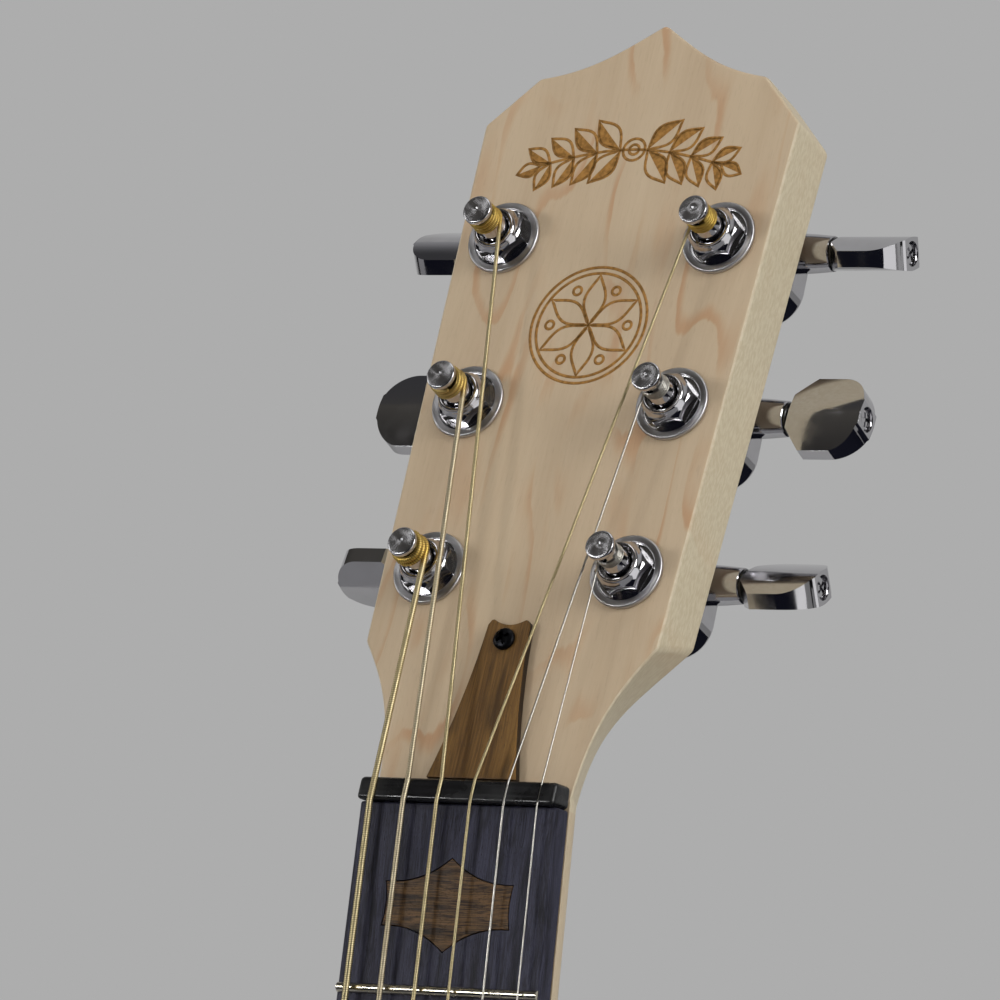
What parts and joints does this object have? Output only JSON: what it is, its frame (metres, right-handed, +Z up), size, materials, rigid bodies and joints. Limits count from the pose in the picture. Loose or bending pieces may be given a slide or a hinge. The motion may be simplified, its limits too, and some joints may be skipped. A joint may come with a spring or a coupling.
{
  "type": "six-string banjo",
  "caption": "Open-backed banjo with a guitar-like neck: flat maple headstock with geared tuners, nut, inlaid fretboard, round pot with drum head, hoop, bridge and tailpiece.",
  "frame": {"origin": "middle of the fretboard's front surface at the nut, where a hanger's two arms hold the neck", "axes": "+Z up the neck towards the headstock, -Y the front with the strings, +X the treble side"},
  "size_m": [0.3008, 0.0871, 0.9219],
  "materials": {
    "maple": "satin blonde maple",
    "fretboard": "blue-grey stained wood, oiled",
    "walnut": "oiled brown wood",
    "black_nut": "polished black",
    "black_screw": "black oxide",
    "chrome": "polished chrome plate",
    "steel": "bright drawn steel",
    "bronze": "bronze winding",
    "drum_skin": "frosted white film"
  },
  "bodies": {
    "banjo": {"neck": "maple", "fretboard": "fretboard", "first_position_inlay": "walnut", "nut": "black_nut", "truss_rod": "steel", "truss_rod_cover": "walnut", "cover_screw": "black_screw", "rim": "maple", "drum_head": "drum_skin", "tension_hoop": "chrome", "coordinator_rod": "steel", "neck_bolt": "steel", "tail_bolt": "steel", "tail_spacer": "chrome", "tailpiece": "chrome", "bridge": "maple", "string_1": "steel", "string_2": "steel", "string_3": "bronze", "string_4": "bronze", "string_5": "bronze", "string_6": "bronze", "tuner_housing_bass_low": "chrome", "tuner_housing_treble_low": "chrome", "tuner_housing_bass_mid": "chrome", "tuner_housing_treble_mid": "chrome", "tuner_housing_bass_top": "chrome", "tuner_housing_treble_top": "chrome", "tuner_bush_bass_low": "chrome", "tuner_bush_treble_low": "chrome", "tuner_bush_bass_mid": "chrome", "tuner_bush_treble_mid": "chrome", "tuner_bush_bass_top": "chrome", "tuner_bush_treble_top": "chrome"},
    "button_bass_low": {"tuner_button_bass_low": "chrome", "tuner_worm_bass_low": "steel"},
    "post_bass_low": {"tuner_post_bass_low": "chrome"},
    "button_treble_low": {"tuner_button_treble_low": "chrome", "tuner_worm_treble_low": "steel"},
    "post_treble_low": {"tuner_post_treble_low": "chrome"},
    "button_bass_mid": {"tuner_button_bass_mid": "chrome", "tuner_worm_bass_mid": "steel"},
    "post_bass_mid": {"tuner_post_bass_mid": "chrome"},
    "button_treble_mid": {"tuner_button_treble_mid": "chrome", "tuner_worm_treble_mid": "steel"},
    "post_treble_mid": {"tuner_post_treble_mid": "chrome"},
    "button_bass_top": {"tuner_button_bass_top": "chrome", "tuner_worm_bass_top": "steel"},
    "post_bass_top": {"tuner_post_bass_top": "chrome"},
    "button_treble_top": {"tuner_button_treble_top": "chrome", "tuner_worm_treble_top": "steel"},
    "post_treble_top": {"tuner_post_treble_top": "chrome"}
  },
  "joints": [
    {"name": "button_turn_bass_low", "type": "hinge", "parent": "banjo", "child": "button_bass_low", "pos_m": [-0.0217, 0.03789, 0.04992], "axis": [-1, 0, 0], "continuous": true},
    {"name": "post_turn_bass_low", "type": "hinge", "parent": "banjo", "child": "post_bass_low", "pos_m": [-0.0217, 0.01675, 0.04809], "axis": [0, -0.9677, 0.2521], "continuous": true},
    {"name": "button_turn_treble_low", "type": "hinge", "parent": "banjo", "child": "button_treble_low", "pos_m": [0.0217, 0.03789, 0.04992], "axis": [1, 0, 0], "continuous": true},
    {"name": "post_turn_treble_low", "type": "hinge", "parent": "banjo", "child": "post_treble_low", "pos_m": [0.0217, 0.01675, 0.04809], "axis": [0, -0.9677, 0.2521], "continuous": true},
    {"name": "button_turn_bass_mid", "type": "hinge", "parent": "banjo", "child": "button_bass_mid", "pos_m": [-0.0226, 0.04691, 0.08457], "axis": [-1, 0, 0], "continuous": true},
    {"name": "post_turn_bass_mid", "type": "hinge", "parent": "banjo", "child": "post_bass_mid", "pos_m": [-0.0226, 0.02577, 0.08274], "axis": [0, -0.9677, 0.2521], "continuous": true},
    {"name": "button_turn_treble_mid", "type": "hinge", "parent": "banjo", "child": "button_treble_mid", "pos_m": [0.0226, 0.04691, 0.08457], "axis": [1, 0, 0], "continuous": true},
    {"name": "post_turn_treble_mid", "type": "hinge", "parent": "banjo", "child": "post_treble_mid", "pos_m": [0.0226, 0.02577, 0.08274], "axis": [0, -0.9677, 0.2521], "continuous": true},
    {"name": "button_turn_bass_top", "type": "hinge", "parent": "banjo", "child": "button_bass_top", "pos_m": [-0.0239, 0.05596, 0.11931], "axis": [-1, 0, 0], "continuous": true},
    {"name": "post_turn_bass_top", "type": "hinge", "parent": "banjo", "child": "post_bass_top", "pos_m": [-0.0239, 0.03482, 0.11748], "axis": [0, -0.9677, 0.2521], "continuous": true},
    {"name": "button_turn_treble_top", "type": "hinge", "parent": "banjo", "child": "button_treble_top", "pos_m": [0.0239, 0.05596, 0.11931], "axis": [1, 0, 0], "continuous": true},
    {"name": "post_turn_treble_top", "type": "hinge", "parent": "banjo", "child": "post_treble_top", "pos_m": [0.0239, 0.03482, 0.11748], "axis": [0, -0.9677, 0.2521], "continuous": true}
  ],
  "couplings": [
    {"joint": "post_turn_bass_low", "follows": "button_turn_bass_low", "ratio": 0.083333},
    {"joint": "post_turn_treble_low", "follows": "button_turn_treble_low", "ratio": 0.083333},
    {"joint": "post_turn_bass_mid", "follows": "button_turn_bass_mid", "ratio": 0.083333},
    {"joint": "post_turn_treble_mid", "follows": "button_turn_treble_mid", "ratio": 0.083333},
    {"joint": "post_turn_bass_top", "follows": "button_turn_bass_top", "ratio": 0.083333},
    {"joint": "post_turn_treble_top", "follows": "button_turn_treble_top", "ratio": 0.083333}
  ]
}
